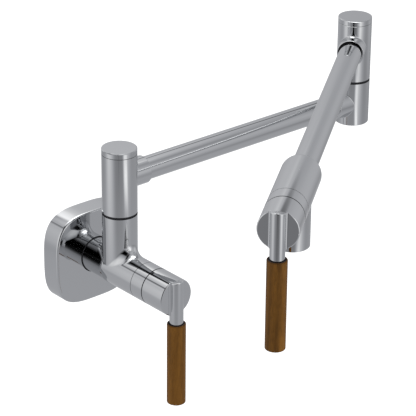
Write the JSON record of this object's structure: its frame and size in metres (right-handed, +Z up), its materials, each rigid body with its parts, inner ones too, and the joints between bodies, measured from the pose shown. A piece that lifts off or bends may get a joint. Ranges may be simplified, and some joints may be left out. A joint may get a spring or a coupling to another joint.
{
  "type": "wall-mounted faucet",
  "caption": "Wall-mounted pot filler in polished chrome with swivelling arms, shut-off valves and lever handles with wooden sleeves.",
  "frame": {"origin": "centre of the mouth of the supply thread, in the plane of the wall", "axes": "+Y along the supply thread into the wall, +Z up, +X to the right along the wall; the arms reach out towards -Y"},
  "size_m": [0.3359, 0.3072, 0.2606],
  "materials": {
    "chrome": "polished chrome plate over brass",
    "brass": "machined",
    "steel": "bright zinc plated",
    "black_rubber": "smooth black",
    "ceramic": "lapped",
    "pale_plastic": "moulded",
    "brown_wood": "oiled, fine straight grain"
  },
  "bodies": {
    "wall": {"wall_plate": "chrome", "plate_seal": "black_rubber", "wall_bracket": "steel", "bracket_set_screw": "steel", "valve_body_1": "chrome", "seat_seal_1": "black_rubber", "cartridge_1": "brass", "fixed_disc_1": "ceramic", "bonnet_1": "chrome", "hub_washer_1": "black_rubber", "post_spigot": "brass", "post_seals": "black_rubber", "post_washer": "black_rubber", "post_clip": "steel"},
    "arm_1": {"post_housing": "chrome", "post_bushes": "pale_plastic", "post_cap": "chrome", "post_cap_seal": "black_rubber", "arm_1_collar_post": "chrome", "arm_1_tube": "chrome", "arm_1_collar_elbow": "chrome", "elbow_base": "chrome", "elbow_spigot": "brass", "elbow_seals": "black_rubber", "elbow_washer": "black_rubber", "elbow_clip": "steel"},
    "arm_2": {"elbow_housing": "chrome", "elbow_bushes": "pale_plastic", "elbow_cap": "chrome", "elbow_cap_seal": "black_rubber", "arm_2_collar": "chrome", "arm_2_tube": "chrome", "valve_body_2": "chrome", "seat_seal_2": "black_rubber", "cartridge_2": "brass", "fixed_disc_2": "ceramic", "bonnet_2": "chrome", "hub_washer_2": "black_rubber", "aerator_shell": "chrome", "aerator_insert": "pale_plastic", "aerator_washer": "black_rubber"},
    "lever_1": {"lever_hub_1": "chrome", "spindle_1": "brass", "moving_disc_1": "ceramic", "hub_screw_1": "steel", "sleeve_ring_1": "black_rubber", "lever_sleeve_1": "brown_wood"},
    "lever_2": {"lever_hub_2": "chrome", "spindle_2": "brass", "moving_disc_2": "ceramic", "hub_screw_2": "steel", "sleeve_ring_2": "black_rubber", "lever_sleeve_2": "brown_wood"}
  },
  "joints": [
    {"name": "wall_swivel", "type": "hinge", "parent": "wall", "child": "arm_1", "pos_m": [0, -0.0516, 0.0515], "axis": [0, 0, 1], "range_deg": [-180, 0]},
    {"name": "elbow_swivel", "type": "hinge", "parent": "arm_1", "child": "arm_2", "pos_m": [0.2665, -0.0516, 0.1051], "axis": [0, 0, 1], "continuous": true},
    {"name": "lever_1_turn", "type": "hinge", "parent": "wall", "child": "lever_1", "pos_m": [0, -0.1, 0], "axis": [0, -1, 0], "range_deg": [0, 90]},
    {"name": "lever_2_turn", "type": "hinge", "parent": "arm_2", "child": "lever_2", "pos_m": [-0.01718, -0.27324, 0.1368], "axis": [-0.788, -0.6157, 0], "range_deg": [0, 90]}
  ]
}
